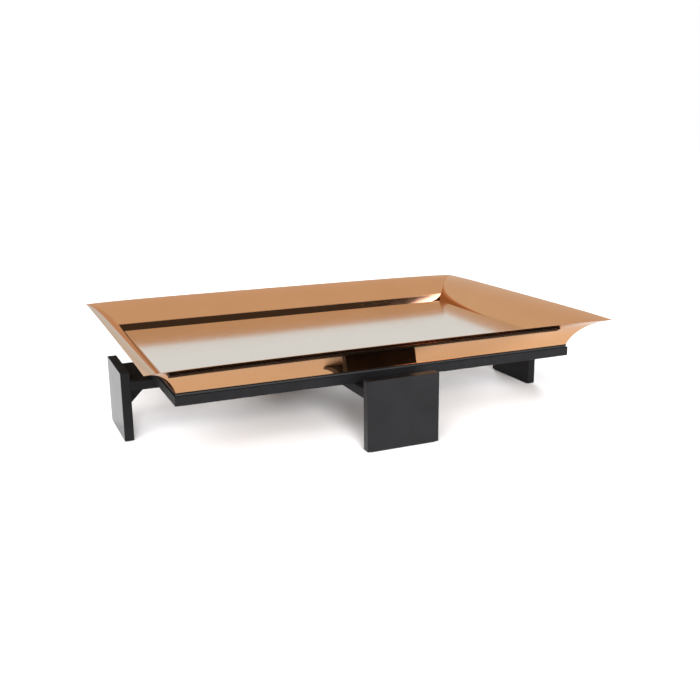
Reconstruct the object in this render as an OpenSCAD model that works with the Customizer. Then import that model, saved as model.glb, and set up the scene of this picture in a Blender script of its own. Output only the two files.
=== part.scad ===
// Rectangular footed centrepiece tray.
// A tray with four rolled, flaring sides and a polished floor rests on a black
// stand: a square-stock frame on two crossing bearers, with a foot panel at the
// middle of each side. Origin on the ground under the centre of the tray,
// X along the length, Y across the width, Z up, millimetres.

/* [Tray] */
// Length of the tray over its rim, along X
rim_length = 650; // [560:2:760]
// Width of the tray over its rim, along Y
rim_width = 452; // [380:2:560]
// Radius of the curve that each side is rolled to, on its outer face
flare_radius = 60; // [50:1:70]
// Slope of a side at its foot, in degrees from level
flare_foot_angle = 72; // [65:1:80]
// Slope of a side at its rim, in degrees from level
flare_rim_angle = 12.5; // [5:0.5:20]
// Thickness of the rolled sheet of the sides
flare_sheet = 1; // [0.8:0.1:2]
// Thickness of the base plate that the sides are brazed to
base_plate = 1.5; // [1.2:0.1:3]
// How far the base plate stands out past the foot of the sides
base_lip = 0.4; // [0.2:0.1:0.6]
// Thickness of the polished floor plate
floor_plate = 1; // [0.8:0.1:3]
// Gap round the floor plate, between it and the sides
floor_gap = 0.4; // [0.2:0.1:1]

/* [Locating cleats] */
// Length of each leg of a cleat
cleat_leg = 30; // [20:1:40]
// Thickness of a cleat's legs
cleat_sheet = 3; // [2:0.5:5]
// Depth of a cleat below the base plate
cleat_drop = 10; // [6:0.5:12]
// Play between a cleat and the frame
cleat_play = 1; // [0.5:0.5:2]

/* [Stand] */
// Height of the stand, up to the top of its frame
stand_height = 94; // [80:1:120]
// Thickness of the stock that the whole stand is cut from
stock = 12.5; // [10:0.5:15]
// How far the frame stands out past the foot of the tray's sides
frame_ledge = 2; // [0.8:0.1:3]
// Thickness of the felt strips on the frame, which the tray rests on
rest_strip = 2; // [1:0.5:3]
// Width of the bearers and of the foot panels
foot_width = 102; // [80:2:120]
// Distance from the rim line in to the outer face of a foot
foot_inset = 1.5; // [0:0.5:5]
// Length of the two square legs of a gusset
gusset_leg = 36; // [20:1:45]
// Thickness of the felt under each foot
felt = 1; // [0.5:0.5:2]
// Margin from the end of a foot to the end of its felt
felt_margin = 5; // [2:1:10]

/* [Fixings] */
// Diameter of the dowels between feet and bearers
dowel_d = 6; // [5:1:6]
// Length of a dowel
dowel_length = 20; // [16:1:24]
// Length of a dowel that goes into the foot
dowel_in_foot = 8; // [6:1:8]
// Diameter of the screws between bearers and frame
screw_d = 4; // [3:0.5:4]
// Length of a screw, with its head
screw_length = 20; // [18:1:22]
// Distance between the two fixings of each joint
fixing_spacing = 60; // [40:1:70]

/* [Hidden] */
$fn = 48;

rose_brass = [0.80, 0.58, 0.40];
polished_plate = [0.84, 0.83, 0.80];
satin_black = [0.12, 0.12, 0.13];
bare_beech = [0.76, 0.62, 0.44];
zinc_steel = [0.62, 0.62, 0.60];
dark_felt = [0.20, 0.20, 0.20];

// The curve of a side, in a section with its foot at zero and outward positive
flare_step = 3;
flare_overhang = flare_radius * (sin(flare_foot_angle) - sin(flare_rim_angle));
tray_z = stand_height + rest_strip;
flare_base_z = tray_z + base_plate;
flare_centre = [flare_radius * sin(flare_foot_angle),
                flare_base_z - flare_radius * cos(flare_foot_angle)];
inner_radius = flare_radius + flare_sheet;
inner_foot_angle = acos((flare_base_z - flare_centre[1]) / inner_radius);
inner_foot_offset = inner_radius * sin(inner_foot_angle) - flare_centre[0];

// Half lengths of the outlines, along X and along Y
side_foot = [rim_length / 2 - flare_overhang, rim_width / 2 - flare_overhang];
plate_half = [for (side = side_foot) side + base_lip];
floor_half = [for (side = side_foot) side - inner_foot_offset - floor_gap];
frame_half = [for (side = side_foot) side + frame_ledge];
frame_inner = [for (half = frame_half) half - stock];
rail_line = [for (half = frame_half) half - stock / 2];
strip_margin = 1;
strip_outer = side_foot;
strip_inner = [for (inner = frame_inner) inner + strip_margin];
foot_outer = [rim_length / 2 - foot_inset, rim_width / 2 - foot_inset];
foot_inner = [for (outer = foot_outer) outer - stock];

rail_z = stand_height - stock;
bearer_z = rail_z - stock;
half_lap = stock / 2;

felt_side_margin = 1;
tenon = stock / 2;
tenon_length = 8;
bore_play = 0.1;
dowel_end_play = 0.5;
screw_head_d = 2 * screw_d;
screw_head_h = screw_d / 2;
cut = 1;
sheet_top = 2 * stand_height;

// Points of an arc of the side's section, both angles being slopes of the sheet
function flare_arc(radius, from, to) =
    let (steps = ceil(abs(to - from) / flare_step))
    [for (i = [0 : steps])
        let (slope = from + (to - from) * i / steps)
        flare_centre + radius * [-sin(slope), cos(slope)]];

// Closed outline of the rolled sheet of a side
function flare_section() = concat(
    flare_arc(flare_radius, flare_foot_angle, flare_rim_angle),
    flare_arc(inner_radius, flare_rim_angle, inner_foot_angle));

// A box given by its size, centred in X and Y, with its underside at z
module block(size, z) {
    translate([-size[0] / 2, -size[1] / 2, z]) cube(size);
}

// One rolled side on +Y, mitred at 45 degrees. Its foot runs between
// -half_length and half_length at the distance half_width from the centre.
module flare_side(half_length, half_width) {
    reach = half_length + flare_overhang + cut;
    lead = half_length - half_width;
    near = half_width - flare_radius;
    far = half_width + flare_overhang + cut;
    intersection() {
        translate([-reach, half_width, 0])
            rotate([90, 0, 90])
                linear_extrude(2 * reach) polygon(flare_section());
        linear_extrude(sheet_top)
            polygon([[-near - lead, near], [near + lead, near],
                     [far + lead, far], [-far - lead, far]]);
    }
}

module flare_front() {
    color(rose_brass) rotate([0, 0, 180]) flare_side(side_foot[0], side_foot[1]);
}

module flare_back() {
    color(rose_brass) flare_side(side_foot[0], side_foot[1]);
}

module flare_left() {
    color(rose_brass) rotate([0, 0, 90]) flare_side(side_foot[1], side_foot[0]);
}

module flare_right() {
    color(rose_brass) rotate([0, 0, -90]) flare_side(side_foot[1], side_foot[0]);
}

// Flat plate that closes the tray from below and carries its four sides
module tray_base() {
    color(rose_brass)
        block([2 * plate_half[0], 2 * plate_half[1], base_plate], tray_z);
}

// Polished plate that lies on the base plate inside the sides
module mirror_floor() {
    color(polished_plate)
        block([2 * floor_half[0], 2 * floor_half[1], floor_plate], flare_base_z);
}

// Angle in the inner corner of the frame on the side of +X and +Y
module cleat() {
    corner = [frame_inner[0] - cleat_play, frame_inner[1] - cleat_play];
    translate([corner[0] - cleat_leg, corner[1] - cleat_leg, tray_z - cleat_drop])
        difference() {
            cube([cleat_leg, cleat_leg, cleat_drop]);
            translate([-cut, -cut, -cut])
                cube([cleat_leg - cleat_sheet + cut, cleat_leg - cleat_sheet + cut,
                      cleat_drop + 2 * cut]);
        }
}

// Four angles brazed under the base plate, which drop inside the frame
module locating_cleats() {
    color(rose_brass)
        for (flip_x = [0, 1], flip_y = [0, 1])
            mirror([flip_x, 0, 0]) mirror([0, flip_y, 0]) cleat();
}

// Turns what is built for the foot on +X to each side of the stand in turn:
// 0 is +X, 1 is +Y, 2 is -X and 3 is -Y
module at_side(side) {
    rotate([0, 0, 90 * side]) children();
}

// Places its children at the two fixings of a joint, along Y
module fixing_pair() {
    for (offset = [-fixing_spacing / 2, fixing_spacing / 2])
        translate([0, offset, 0]) children();
}

// A countersunk screw pointing up from the underside of a bearer.
// With play it is the hole that is drilled for it.
module screw(play = 0) {
    head_r = screw_head_d / 2 + play;
    shank_r = screw_d / 2 + play;
    cylinder(h = screw_head_h, r1 = head_r, r2 = shank_r);
    cylinder(h = screw_length + play, r = shank_r);
}

// The two screws that hold the rail on one side, from below
module screw_pair(side, play = 0) {
    at_side(side)
        translate([rail_line[side % 2], 0, bearer_z])
            fixing_pair() screw(play);
}

// The two dowels between a foot and its bearer, on one side
module dowel_pair(side, play = 0) {
    end_play = play > 0 ? dowel_end_play : 0;
    at_side(side)
        translate([foot_inner[side % 2] + dowel_in_foot - dowel_length - end_play, 0,
                   bearer_z + stock / 2])
            fixing_pair()
                rotate([0, 90, 0])
                    cylinder(h = dowel_length + 2 * end_play, r = dowel_d / 2 + play);
}

// A long rail on +Y, with a mortise at each end for the tenons of the short rails
module long_rail() {
    difference() {
        translate([0, rail_line[1], 0])
            block([2 * frame_half[0], stock, stock], rail_z);
        for (end = [-1, 1])
            translate([end * rail_line[0], frame_inner[1] + tenon_length / 2, 0])
                block([tenon, tenon_length, tenon], rail_z + (stock - tenon) / 2);
        screw_pair(1, bore_play);
    }
}

// A short rail on +X, with a tenon at each end
module short_rail() {
    difference() {
        translate([rail_line[0], 0, 0])
            union() {
                block([stock, 2 * frame_inner[1], stock], rail_z);
                block([tenon, 2 * (frame_inner[1] + tenon_length), tenon],
                      rail_z + (stock - tenon) / 2);
            }
        screw_pair(0, bore_play);
    }
}

module rail_front() {
    color(satin_black) rotate([0, 0, 180]) long_rail();
}

module rail_back() {
    color(satin_black) long_rail();
}

module rail_left() {
    color(satin_black) rotate([0, 0, 180]) short_rail();
}

module rail_right() {
    color(satin_black) short_rail();
}

// Felt strips along the top of the frame, the long ones running through and the
// short ones stopping a margin away from them
module rest_strips() {
    width = [strip_outer[0] - strip_inner[0], strip_outer[1] - strip_inner[1]];
    color(dark_felt)
        for (end = [-1, 1]) {
            translate([0, end * (strip_outer[1] + strip_inner[1]) / 2, 0])
                block([2 * strip_outer[0], width[1], rest_strip], stand_height);
            translate([end * (strip_outer[0] + strip_inner[0]) / 2, 0, 0])
                block([width[0], 2 * (strip_inner[1] - strip_margin), rest_strip],
                      stand_height);
        }
}

// Bearer along X, halved from above where the other one crosses it
module bearer_long() {
    color(satin_black)
        difference() {
            block([2 * foot_inner[0], foot_width, stock], bearer_z);
            block([foot_width, foot_width + 2 * cut, stock], bearer_z + half_lap);
            for (side = [0, 2]) {
                screw_pair(side, bore_play);
                dowel_pair(side, bore_play);
            }
        }
}

// Bearer along Y, halved from below where the other one crosses it
module bearer_cross() {
    color(satin_black)
        difference() {
            block([foot_width, 2 * foot_inner[1], stock], bearer_z);
            block([foot_width + 2 * cut, foot_width, stock], bearer_z - half_lap);
            for (side = [1, 3]) {
                screw_pair(side, bore_play);
                dowel_pair(side, bore_play);
            }
        }
}

// Upright foot panel on one side, with two blind holes for its dowels
module foot(side) {
    color(satin_black)
        difference() {
            at_side(side)
                translate([foot_outer[side % 2] - stock / 2, 0, 0])
                    block([stock, foot_width, stand_height - felt], felt);
            dowel_pair(side, bore_play);
        }
}

module foot_right() {
    foot(0);
}

module foot_back() {
    foot(1);
}

module foot_left() {
    foot(2);
}

module foot_front() {
    foot(3);
}

// Triangular gusset glued under the bearer and behind the foot, at mid width
module gusset(side) {
    color(satin_black)
        at_side(side)
            translate([foot_inner[side % 2], stock / 2, bearer_z])
                rotate([90, 0, 0])
                    linear_extrude(stock)
                        polygon([[0, 0], [-gusset_leg, 0], [0, -gusset_leg]]);
}

module gusset_right() {
    gusset(0);
}

module gusset_back() {
    gusset(1);
}

module gusset_left() {
    gusset(2);
}

module gusset_front() {
    gusset(3);
}

// Eight wooden dowels, two between each foot and its bearer
module foot_dowels() {
    color(bare_beech)
        for (side = [0 : 3])
            dowel_pair(side);
}

// Eight countersunk screws, two up through each bearer end into the rail
module frame_screws() {
    color(zinc_steel)
        for (side = [0 : 3])
            screw_pair(side);
}

// Four felt strips under the feet
module felt_glides() {
    color(dark_felt)
        for (side = [0 : 3])
            at_side(side)
                translate([foot_outer[side % 2] - stock / 2, 0, 0])
                    block([stock - 2 * felt_side_margin, foot_width - 2 * felt_margin, felt], 0);
}

flare_front();
flare_back();
flare_left();
flare_right();
tray_base();
mirror_floor();
locating_cleats();
rail_front();
rail_back();
rail_left();
rail_right();
rest_strips();
bearer_long();
bearer_cross();
foot_front();
foot_back();
foot_left();
foot_right();
gusset_front();
gusset_back();
gusset_left();
gusset_right();
foot_dowels();
frame_screws();
felt_glides();
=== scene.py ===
"""Looks of a footed tray: four rolled rose-brass sides round a polished floor,
resting on a black lacquered stand. Metres, in the frame of the CAD model."""

import math

import bmesh
import bpy
from mathutils import Matrix, Vector


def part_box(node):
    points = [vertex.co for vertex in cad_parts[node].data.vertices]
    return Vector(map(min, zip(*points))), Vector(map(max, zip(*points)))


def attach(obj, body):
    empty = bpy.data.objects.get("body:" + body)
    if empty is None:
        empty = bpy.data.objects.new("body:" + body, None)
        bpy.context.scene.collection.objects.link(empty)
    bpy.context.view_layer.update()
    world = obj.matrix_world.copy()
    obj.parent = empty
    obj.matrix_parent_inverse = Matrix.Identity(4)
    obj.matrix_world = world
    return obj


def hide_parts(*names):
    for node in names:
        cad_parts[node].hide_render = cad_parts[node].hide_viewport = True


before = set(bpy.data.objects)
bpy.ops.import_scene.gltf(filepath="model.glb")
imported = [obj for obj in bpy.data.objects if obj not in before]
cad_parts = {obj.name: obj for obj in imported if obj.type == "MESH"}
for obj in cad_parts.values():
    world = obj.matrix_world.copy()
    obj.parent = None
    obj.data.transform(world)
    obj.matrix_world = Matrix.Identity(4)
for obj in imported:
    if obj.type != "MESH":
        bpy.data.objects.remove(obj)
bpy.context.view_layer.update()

MM = 0.001

# ------------------------------------------------------------------ dimensions
# The rolled sides, as the CAD model makes them.
FLARE_RADIUS = 60 * MM
FOOT_SLOPE = math.radians(72)
RIM_SLOPE = math.radians(12.5)
SHEET = 1.0 * MM
RIM_SHEET = 0.45 * MM
PLATE_LIP = 0.4 * MM
# Hand-worked rim: the long sides stand a little high at mid length, the tips
# droop, and the whole rim is slightly wound.
RIM_CROWN = 0.7 * MM
TIP_DROOP = 1.8 * MM
TIP_REACH = 45 * MM
RIM_TWIST = 0.8 * MM
ARC_STEPS = 40
LENGTH_STEPS = 72
RIM_ROUND_STEPS = 4
# Softened edges.
LACQUER_EDGE = 0.7 * MM
PLATE_EDGE = 0.35 * MM
BEVEL_STEPS = 3
# Edges that turn by less than this are shaded smooth.
SMOOTH_TURN = math.radians(32)
# A face is square to an axis when its normal's part along it is above this.
FLAT_FACE = 0.9999
# How far up a face of the stand has to look to count as its top.
TOP_FACE = 0.3
# Below this, a face of the base plate belongs to its edge.
LEVEL_FACE = 0.9
# The sum of a box's two X values is past this on the end feet alone.
END_FOOT = 0.5

PLATE_LOW, PLATE_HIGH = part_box("tray_base")
FOOT_HALF = Vector((PLATE_HIGH.x - PLATE_LIP, PLATE_HIGH.y - PLATE_LIP))
ARC_CENTRE_OUT = FLARE_RADIUS * math.sin(FOOT_SLOPE)
ARC_CENTRE_Z = PLATE_HIGH.z - FLARE_RADIUS * math.cos(FOOT_SLOPE)


# ------------------------------------------------------------------- materials
def new_material(name):
    """An empty node material with its Principled shader."""
    material = bpy.data.materials.new(name)
    material.use_nodes = True
    return material, material.node_tree.nodes["Principled BSDF"]


def add_node(material, kind, **inputs):
    """A node of that kind with the named inputs set."""
    node = material.node_tree.nodes.new(kind)
    for label, value in inputs.items():
        node.inputs[label.replace("_", " ")].default_value = value
    return node


def link(material, source, target):
    """Joins an output to an input."""
    material.node_tree.links.new(source, target)


def object_point(material, scale=(1, 1, 1)):
    """Object coordinates, stretched by scale."""
    point = add_node(material, "ShaderNodeTexCoord")
    mapping = add_node(material, "ShaderNodeMapping", Scale=scale)
    link(material, point.outputs["Object"], mapping.inputs["Vector"])
    return mapping.outputs["Vector"]


def noise(material, vector, scale, detail=2.0, roughness=0.5):
    """Noise from 0 to 1; its scale is per metre."""
    node = add_node(
        material, "ShaderNodeTexNoise", Scale=scale, Detail=detail, Roughness=roughness
    )
    link(material, vector, node.inputs["Vector"])
    return node.outputs["Fac"]


def spread(material, value, low, high, start=0.3, end=0.7):
    """Maps a value between start and end to low and high."""
    node = add_node(
        material,
        "ShaderNodeMapRange",
        From_Min=start,
        From_Max=end,
        To_Min=low,
        To_Max=high,
    )
    link(material, value, node.inputs["Value"])
    return node.outputs["Result"]


def between(material, value, first, second):
    """A colour between two, by a value from 0 to 1."""
    ramp = add_node(material, "ShaderNodeValToRGB")
    ramp.color_ramp.elements[0].color = (*first, 1)
    ramp.color_ramp.elements[1].color = (*second, 1)
    link(material, value, ramp.inputs["Fac"])
    return ramp.outputs["Color"]


def bump(material, height, distance, strength=1.0):
    """A normal from a height that spans that distance in metres."""
    node = add_node(material, "ShaderNodeBump", Strength=strength, Distance=distance)
    link(material, height, node.inputs["Height"])
    return node.outputs["Normal"]


def rose_brass():
    """Hand-polished rose brass: nearly a mirror, with faint haze and wander."""
    material, shader = new_material("rose_brass")
    shader.inputs["Metallic"].default_value = 1.0
    point = object_point(material)
    haze = noise(material, point, 14, 4, 0.6)
    tone = spread(material, haze, 0, 1)
    link(
        material,
        between(material, tone, (0.715, 0.385, 0.186), (0.745, 0.409, 0.200)),
        shader.inputs["Base Color"],
    )
    link(
        material,
        spread(material, noise(material, point, 40, 5, 0.6), 0.035, 0.075),
        shader.inputs["Roughness"],
    )
    link(
        material,
        bump(material, noise(material, point, 16, 1), 0.0003, 0.25),
        shader.inputs["Normal"],
    )
    return material


def polished_plate():
    """Neutral polished plate, a little softer than the sides."""
    material, shader = new_material("polished_plate")
    shader.inputs["Metallic"].default_value = 1.0
    point = object_point(material)
    tone = spread(material, noise(material, point, 9, 3), 0, 1)
    link(
        material,
        between(material, tone, (0.80, 0.775, 0.72), (0.825, 0.80, 0.75)),
        shader.inputs["Base Color"],
    )
    link(
        material,
        spread(material, noise(material, point, 60, 5, 0.6), 0.10, 0.14),
        shader.inputs["Roughness"],
    )
    return material


def black_lacquer(name, low_gloss, high_gloss, shine):
    """Black lacquer with a fine orange peel.

    Its roughness lies between the two gloss values; shine is its specular level.
    """
    material, shader = new_material(name)
    shader.inputs["Specular IOR Level"].default_value = shine
    point = object_point(material)
    tone = spread(material, noise(material, point, 30, 4, 0.6), 0, 1)
    link(
        material,
        between(material, tone, (0.005, 0.005, 0.0054), (0.008, 0.008, 0.0088)),
        shader.inputs["Base Color"],
    )
    link(
        material,
        spread(material, noise(material, point, 45, 5, 0.6), low_gloss, high_gloss),
        shader.inputs["Roughness"],
    )
    link(
        material,
        bump(material, noise(material, point, 900, 2), 0.00002, 0.2),
        shader.inputs["Normal"],
    )
    return material


def pressed_felt():
    """Dark pressed felt."""
    material, shader = new_material("pressed_felt")
    point = object_point(material)
    fibres = noise(material, point, 2500, 6, 0.7)
    link(
        material,
        between(material, fibres, (0.012, 0.012, 0.012), (0.05, 0.05, 0.05)),
        shader.inputs["Base Color"],
    )
    shader.inputs["Roughness"].default_value = 0.95
    link(material, bump(material, fibres, 0.0002), shader.inputs["Normal"])
    return material


def bare_beech():
    """Plain beech of the dowels, with its grain along them."""
    material, shader = new_material("bare_beech")
    grain = noise(material, object_point(material, (1, 1, 0.2)), 900, 4)
    link(
        material,
        between(material, grain, (0.42, 0.27, 0.15), (0.60, 0.42, 0.25)),
        shader.inputs["Base Color"],
    )
    shader.inputs["Roughness"].default_value = 0.7
    return material


def zinc_steel():
    """Zinc plate on the screws."""
    material, shader = new_material("zinc_steel")
    shader.inputs["Metallic"].default_value = 1.0
    tone = noise(material, object_point(material), 700, 3)
    link(
        material,
        between(material, tone, (0.45, 0.45, 0.44), (0.60, 0.60, 0.58)),
        shader.inputs["Base Color"],
    )
    shader.inputs["Roughness"].default_value = 0.32
    return material


# ------------------------------------------------------------------------ mesh
def finish_piece(name, mesh, materials, body, slot, *nodes):
    """Turns a bmesh into a piece that rides on a body and stands for CAD nodes."""
    data = bpy.data.meshes.new(name)
    bmesh.ops.recalc_face_normals(mesh, faces=mesh.faces)
    for edge in mesh.edges:
        edge.smooth = edge.calc_face_angle(0) < SMOOTH_TURN
    for face in mesh.faces:
        face.smooth = max(abs(part) for part in face.normal) < FLAT_FACE
    mesh.to_mesh(data)
    mesh.free()
    for material in materials:
        data.materials.append(material)
    piece = bpy.data.objects.new(name, data)
    bpy.context.scene.collection.objects.link(piece)
    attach(piece, body)
    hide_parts(*nodes)


def side_section():
    """The rolled sheet's closed outline as (outward, height, share of the rise)."""
    outer, inner = [], []
    inner_radius = FLARE_RADIUS + SHEET
    inner_foot = math.acos((PLATE_HIGH.z - ARC_CENTRE_Z) / inner_radius)
    for step in range(ARC_STEPS + 1):
        share = step / ARC_STEPS
        thinning = (SHEET - RIM_SHEET) * share**3
        for points, radius, foot in (
            (outer, FLARE_RADIUS + thinning / 2, FOOT_SLOPE),
            (inner, inner_radius - thinning / 2, inner_foot),
        ):
            slope = foot + (RIM_SLOPE - foot) * share
            points.append(
                (
                    ARC_CENTRE_OUT - radius * math.sin(slope),
                    ARC_CENTRE_Z + radius * math.cos(slope),
                    share,
                )
            )
    return outer, rim_round(outer[-1], inner[-1]), inner[::-1]


def rim_round(low, high):
    """The half-round edge of the sheet, between the last points of its two faces."""
    middle = Vector(((low[0] + high[0]) / 2, (low[1] + high[1]) / 2))
    arm = Vector((low[0], low[1])) - middle
    points = []
    for step in range(1, RIM_ROUND_STEPS):
        turn = math.pi * step / RIM_ROUND_STEPS
        x = arm.x * math.cos(turn) - arm.y * math.sin(turn)
        y = arm.x * math.sin(turn) + arm.y * math.cos(turn)
        points.append((middle.x + x, middle.y + y, 1.0))
    return points


def rim_height(share, along, half_length, crown, wind):
    """How far hand work has moved the sheet up or down at that place."""
    from_tip = half_length - abs(along)
    arch = crown * (1 - (along / half_length) ** 2)
    droop = TIP_DROOP * math.exp(-from_tip / TIP_REACH)
    return share**2 * (arch - droop + wind * along / half_length)


def rolled_side(name, quarter_turns, half_length, half_width, material):
    """One mitred side. It is built on +Y and turned to its place."""
    is_long = quarter_turns % 2 == 0
    crown = RIM_CROWN if is_long else 0
    wind = -RIM_TWIST if is_long else RIM_TWIST
    outer, edge, inner = side_section()
    section = outer + edge + inner
    mesh = bmesh.new()
    rows = []
    for step in range(LENGTH_STEPS + 1):
        place = math.sin(math.pi * (step / LENGTH_STEPS - 0.5))
        row = []
        for out, height, share in section:
            reach = half_length + out
            along = reach * place
            z = height + rim_height(share, along, reach, crown, wind)
            point = Vector((along, half_width + out, z))
            for _ in range(quarter_turns):
                point = Vector((-point.y, point.x, point.z))
            row.append(mesh.verts.new(point))
        rows.append(row)
    count = len(section)
    for near, far in zip(rows, rows[1:]):
        for i in range(count):
            j = (i + 1) % count
            mesh.faces.new((near[i], near[j], far[j], far[i]))
    for row in (rows[0], rows[-1]):
        close_mitre(mesh, row, len(outer), count)
    finish_piece(
        "rolled_" + name, mesh, [material], "tray", "rose_brass", "flare_" + name
    )


def close_mitre(mesh, row, arc_points, count):
    """Closes a mitred end with strips across the sheet and a cap on its edge."""
    for i in range(arc_points - 1):
        mesh.faces.new((row[i], row[i + 1], row[count - 2 - i], row[count - 1 - i]))
    mesh.faces.new(row[arc_points - 1 : count - arc_points + 1])


def soft_box(low, high, edge_size, is_soft=lambda edge: True):
    """A box between two corners with the chosen edges rounded."""
    mesh = bmesh.new()
    bmesh.ops.create_cube(mesh, size=1)
    size, middle = high - low, (low + high) / 2
    for vertex in mesh.verts:
        vertex.co = Vector(
            (vertex.co.x * size.x, vertex.co.y * size.y, vertex.co.z * size.z)
        ) + middle
    chosen = [edge for edge in mesh.edges if is_soft(edge)]
    bmesh.ops.bevel(
        mesh,
        geom=chosen,
        offset=edge_size,
        segments=BEVEL_STEPS,
        profile=0.5,
        affect="EDGES",
        clamp_overlap=True,
    )
    return mesh


def edge_runs(edge, axis):
    """Whether an edge runs along that axis, 0 for X, 1 for Y and 2 for Z."""
    run = edge.verts[1].co - edge.verts[0].co
    return abs(run[axis]) > 0.99 * run.length


def lacquered_node(name, lacquers, is_soft=lambda edge: True):
    """A straight piece of the stand with its edges eased.

    The lacquers are for its faces, its top and, where there is a third, the
    outer face of an end foot.
    """
    low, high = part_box(name)
    mesh = soft_box(low, high, LACQUER_EDGE, is_soft)
    for face in mesh.faces:
        # The top takes the second lacquer; on rails, bearers and end feet that is the matt
        # black copy that paints the tops in shade.
        if face.normal.z > TOP_FACE:
            face.material_index = 1
        elif len(lacquers) > 2 and face.normal.x * (low.x + high.x) > END_FOOT:
            face.material_index = 2
    finish_piece("eased_" + name, mesh, lacquers, "stand", "black_lacquer", name)


# --------------------------------------------------------------------- assembly
def make_tray(brass, edge_shade_black, plate):
    """Four sides, the base plate with its edges in painted-shade black, and the floor."""
    for name, turns in (("back", 0), ("left", 1), ("front", 2), ("right", 3)):
        long_side = turns % 2 == 0
        half_length = FOOT_HALF.x if long_side else FOOT_HALF.y
        half_width = FOOT_HALF.y if long_side else FOOT_HALF.x
        rolled_side(name, turns, half_length, half_width, brass)
    base = soft_box(PLATE_LOW, PLATE_HIGH, PLATE_EDGE)
    # The plate's level faces stay brass; its edges get the matt near-black lacquer, painted
    # shade for the dark line between the sides and the rail.
    for face in base.faces:
        face.material_index = 1 if abs(face.normal.z) < LEVEL_FACE else 0
    finish_piece("base_plate", base, [brass, edge_shade_black], "tray", "rose_brass", "tray_base")
    low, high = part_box("mirror_floor")
    floor = soft_box(low, high, PLATE_EDGE)
    finish_piece("floor_plate", floor, [plate], "tray", "polished_plate", "mirror_floor")


def make_stand(satin, shaded, rubbed):
    """Rails, crossed bearers and feet; shaded and rubbed are lists of lacquers, with
    painted shade in the matt black of the tops and in the dimmed lacquer of the shaded
    faces.
    """
    for side in ("front", "back"):
        lacquered_node("rail_" + side, rubbed)
    for side in ("left", "right"):
        lacquered_node("rail_" + side, rubbed, lambda edge: edge_runs(edge, 1))
    lacquered_node("bearer_long", shaded[:2], lambda edge: edge_runs(edge, 0))
    lacquered_node("bearer_cross", [shaded[0], rubbed[0]], lambda edge: edge_runs(edge, 1))
    for side in ("front", "back"):
        lacquered_node("foot_" + side, [satin, satin])
    for side in ("left", "right"):
        lacquered_node("foot_" + side, shaded)


def paint_node(name, material):
    """Gives a CAD node that keeps its own shape a finished material."""
    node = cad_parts[name]
    node.data.materials.clear()
    node.data.materials.append(material)


# ----------------------------------------------------------------------- studio
GROUND_REACH = 24.0
GROUND_DROP = 0.2 * MM
GROUND_TONE = (0.90, 0.905, 0.915)
MIRRORED_GROUND = (0.65, 0.655, 0.67)
# The surround as the metal mirrors it: a pale dome, rosier overhead, with the
# dark of the room on the camera's side and one tall lamp to the right in it.
HORIZON_TONE = (0.78, 0.755, 0.73)
OVERHEAD_TONE = (0.755, 0.70, 0.685)
ROOM_TONE = (0.055, 0.051, 0.052)
LOW_TONE = (0.64, 0.665, 0.635)
LAMP_TONE = (4.0, 3.9, 5.5)
# What matt surfaces and the camera see of it instead.
FILL_TONE = (0.2, 0.2, 0.2)
WHITE = (1.0, 1.0, 1.0)
# Both lie towards -Y, the room under a plane that rises at the first slope and
# the lamp under a steeper one.
ROOM_TOP = math.tan(math.radians(46))
LAMP_TOP = math.tan(math.radians(51))
ROOM_BLUR, LAMP_TOP_BLUR, LAMP_START_BLUR, LAMP_END_BLUR = 0.02, 0.04, 0.004, 0.02
# The lamp's left and right ends along X, and how its left end leans with height.
LAMP_START, LAMP_END = 0.431, 0.56
LAMP_LEAN = -0.08
# Heights at which the low band ends, and between which the overhead tone comes in.
LOW_BAND_TOP = (0.15, 0.22)
OVERHEAD_RISE = (0.35, 0.75)
# The room also darkens the dome a little on its left.
LEFT_ROOM_X = (-0.05, -0.25)
LEFT_ROOM_Y = (0.3, 0.05)
LEFT_ROOM_SHARE = 0.35


def make_ground(name, height, tone):
    """One level triangle, so that no seam can cross the picture."""
    mesh = bmesh.new()
    corners = []
    for step in range(3):
        turn = math.pi * (0.5 + step * 2 / 3)
        x, y = GROUND_REACH * math.cos(turn), GROUND_REACH * math.sin(turn)
        corners.append(mesh.verts.new((x, y, height)))
    mesh.faces.new(corners)
    data = bpy.data.meshes.new(name)
    mesh.to_mesh(data)
    mesh.free()
    material, shader = new_material(name)
    shader.inputs["Base Color"].default_value = (*tone, 1)
    shader.inputs["Roughness"].default_value = 0.9
    shader.inputs["Specular IOR Level"].default_value = 0.0
    data.materials.append(material)
    ground = bpy.data.objects.new(name, data)
    bpy.context.scene.collection.objects.link(ground)
    return ground


def make_grounds():
    """White ground, and over it a greyer one that only reflections see. The
    photograph's background is whiter than what the metal mirrors of it."""
    make_ground("studio_floor", -GROUND_DROP, GROUND_TONE)
    mirrored = make_ground("mirrored_floor", -GROUND_DROP / 2, MIRRORED_GROUND)
    mirrored.visible_camera = False
    mirrored.visible_diffuse = False
    mirrored.visible_shadow = False


def world_math(tree, operation, first, second):
    """One sum or product of the surround; the second term may be a number."""
    node = tree.nodes.new("ShaderNodeMath")
    node.operation = operation
    tree.links.new(first, node.inputs[0])
    if isinstance(second, float):
        node.inputs[1].default_value = second
    else:
        tree.links.new(second, node.inputs[1])
    return node.outputs["Value"]


def world_ramp(tree, source, start, end):
    """0 at start and below it, 1 at end and past it, with soft ends."""
    node = tree.nodes.new("ShaderNodeMapRange")
    node.interpolation_type = "SMOOTHSTEP"
    node.inputs["From Min"].default_value = start
    node.inputs["From Max"].default_value = end
    tree.links.new(source, node.inputs["Value"])
    return node.outputs["Result"]


def world_mix(tree, share, first, second):
    """A tone between two, each given as a colour or as another node's output."""
    node = tree.nodes.new("ShaderNodeMix")
    node.data_type = "RGBA"
    tree.links.new(share, node.inputs[0])
    for socket, tone in ((node.inputs[6], first), (node.inputs[7], second)):
        if isinstance(tone, tuple):
            socket.default_value = (*tone, 1)
        else:
            tree.links.new(tone, socket)
    return node.outputs[2]


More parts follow.
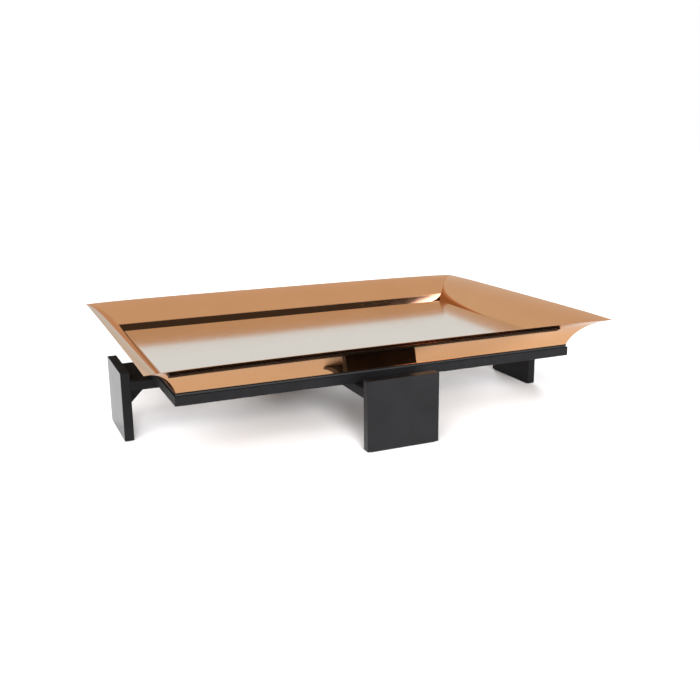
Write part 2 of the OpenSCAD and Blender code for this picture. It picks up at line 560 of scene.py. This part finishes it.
def make_world():
    """The surround. The camera itself sees it plain white."""
    world = bpy.data.worlds.new("studio")
    world.use_nodes = True
    bpy.context.scene.world = world
    tree = world.node_tree
    coord = tree.nodes.new("ShaderNodeTexCoord")
    split = tree.nodes.new("ShaderNodeSeparateXYZ")
    tree.links.new(coord.outputs["Generated"], split.inputs["Vector"])
    x, y, z = (split.outputs[axis] for axis in "XYZ")

    def product(first, second):
        return world_math(tree, "MULTIPLY", first, second)

    def tilted(first, second, slope, start, end):
        """A ramp along first, on planes that lean towards second."""
        total = world_math(tree, "ADD", first, product(second, slope))
        return world_ramp(tree, total, start, end)

    room = tilted(z, y, ROOM_TOP, ROOM_BLUR, -ROOM_BLUR)
    lamp = product(
        tilted(z, y, LAMP_TOP, LAMP_TOP_BLUR, -LAMP_TOP_BLUR),
        tilted(
            x, z, LAMP_LEAN, LAMP_START - LAMP_START_BLUR, LAMP_START + LAMP_START_BLUR
        ),
    )
    lamp = product(lamp, world_ramp(tree, x, LAMP_END, LAMP_END - LAMP_END_BLUR))
    dome = world_mix(tree, world_ramp(tree, z, *LOW_BAND_TOP), LOW_TONE, HORIZON_TONE)
    dome = world_mix(tree, world_ramp(tree, z, *OVERHEAD_RISE), dome, OVERHEAD_TONE)
    left_room = product(
        world_ramp(tree, x, *LEFT_ROOM_X), world_ramp(tree, y, *LEFT_ROOM_Y)
    )
    dome = world_mix(tree, product(left_room, LEFT_ROOM_SHARE), dome, ROOM_TONE)
    mirrored = world_mix(tree, lamp, world_mix(tree, room, dome, ROOM_TONE), LAMP_TONE)
    path = tree.nodes.new("ShaderNodeLightPath")
    cast = world_mix(tree, path.outputs["Is Diffuse Ray"], mirrored, FILL_TONE)
    seen = world_mix(tree, path.outputs["Is Camera Ray"], cast, WHITE)
    background = tree.nodes["Background"]
    tree.links.new(seen, background.inputs["Color"])


def add_soft_sun(name, azimuth, elevation, spread_angle, ground_light):
    """A far, wide softbox that adds that much to the ground's brightness.

    It is kept out of the metal's reflections. Angles are in degrees, the azimuth
    from +X to where the light comes from.
    """
    data = bpy.data.lights.new(name, "SUN")
    data.angle = math.radians(spread_angle)
    rise = math.radians(elevation)
    data.energy = ground_light * math.pi / math.sin(rise)
    lamp = bpy.data.objects.new(name, data)
    turn = math.radians(azimuth)
    source = Vector((math.cos(turn), math.sin(turn), math.tan(rise)))
    lamp.rotation_euler = source.to_track_quat("Z", "Y").to_euler()
    lamp.visible_glossy = False
    lamp.visible_camera = False
    bpy.context.scene.collection.objects.link(lamp)


CAMERA_PLACE = (-0.4975, -1.1872, 0.4002)
CAMERA_HEADING, CAMERA_DIP, CAMERA_ROLL = 0.4141, 0.2449, -0.0094
CAMERA_LENS = 45.77
SENSOR_WIDTH = 36
CLIP = (0.05, 60)


def make_camera():
    """Stands to the left of the front, a little above the rim."""
    data = bpy.data.cameras.new("camera")
    data.lens = CAMERA_LENS
    data.sensor_width = SENSOR_WIDTH
    data.clip_start, data.clip_end = CLIP
    camera = bpy.data.objects.new("camera", data)
    heading = Matrix.Rotation(-CAMERA_HEADING, 4, "Z")
    dip = Matrix.Rotation(math.pi / 2 - CAMERA_DIP, 4, "X")
    roll = Matrix.Rotation(CAMERA_ROLL, 4, "Z")
    camera.matrix_world = Matrix.Translation(CAMERA_PLACE) @ heading @ dip @ roll
    bpy.context.scene.collection.objects.link(camera)
    bpy.context.scene.camera = camera


make_camera()
LACQUER = black_lacquer("black_lacquer", 0.28, 0.36, 0.38)
RAIL_LACQUER = black_lacquer("rubbed_lacquer", 0.5, 0.6, 0.33)
GLOSS_LACQUER = black_lacquer("gloss_lacquer", 0.13, 0.18, 0.4)
# A copy of the lacquer with its shine cut to about a third: painted shade on the bearers,
# the end feet's faces and the gussets under the tray.
SHADE_DIMMED_LACQUER = black_lacquer("shade_dimmed_lacquer", 0.34, 0.42, 0.14)
# A near-black copy of the lacquer made matt and low in shine, so that it mirrors none of
# the brass: painted shade on the stand's tops and on the plate's edges.
SHADE_BLACK = black_lacquer("painted_shade_black", 0.85, 0.95, 0.15)
FELT = pressed_felt()
make_tray(rose_brass(), SHADE_BLACK, polished_plate())
make_stand(LACQUER, [SHADE_DIMMED_LACQUER, SHADE_BLACK, GLOSS_LACQUER], [RAIL_LACQUER, SHADE_BLACK])
# The gussets take the dimmed lacquer: painted shade.
for gusset in ("front", "back", "left", "right"):
    paint_node("gusset_" + gusset, SHADE_DIMMED_LACQUER)
paint_node("locating_cleats", bpy.data.materials["rose_brass"])
paint_node("foot_dowels", bare_beech())
paint_node("frame_screws", zinc_steel())
paint_node("felt_glides", FELT)
paint_node("rest_strips", FELT)
make_grounds()
make_world()
add_soft_sun("front_light", 260, 20, 20, 0.46)
add_soft_sun("back_light", 70, 15, 30, 0.36)
add_soft_sun("left_light", 230, 38, 45, 0.62)
bpy.context.scene.view_settings.view_transform = "Standard"
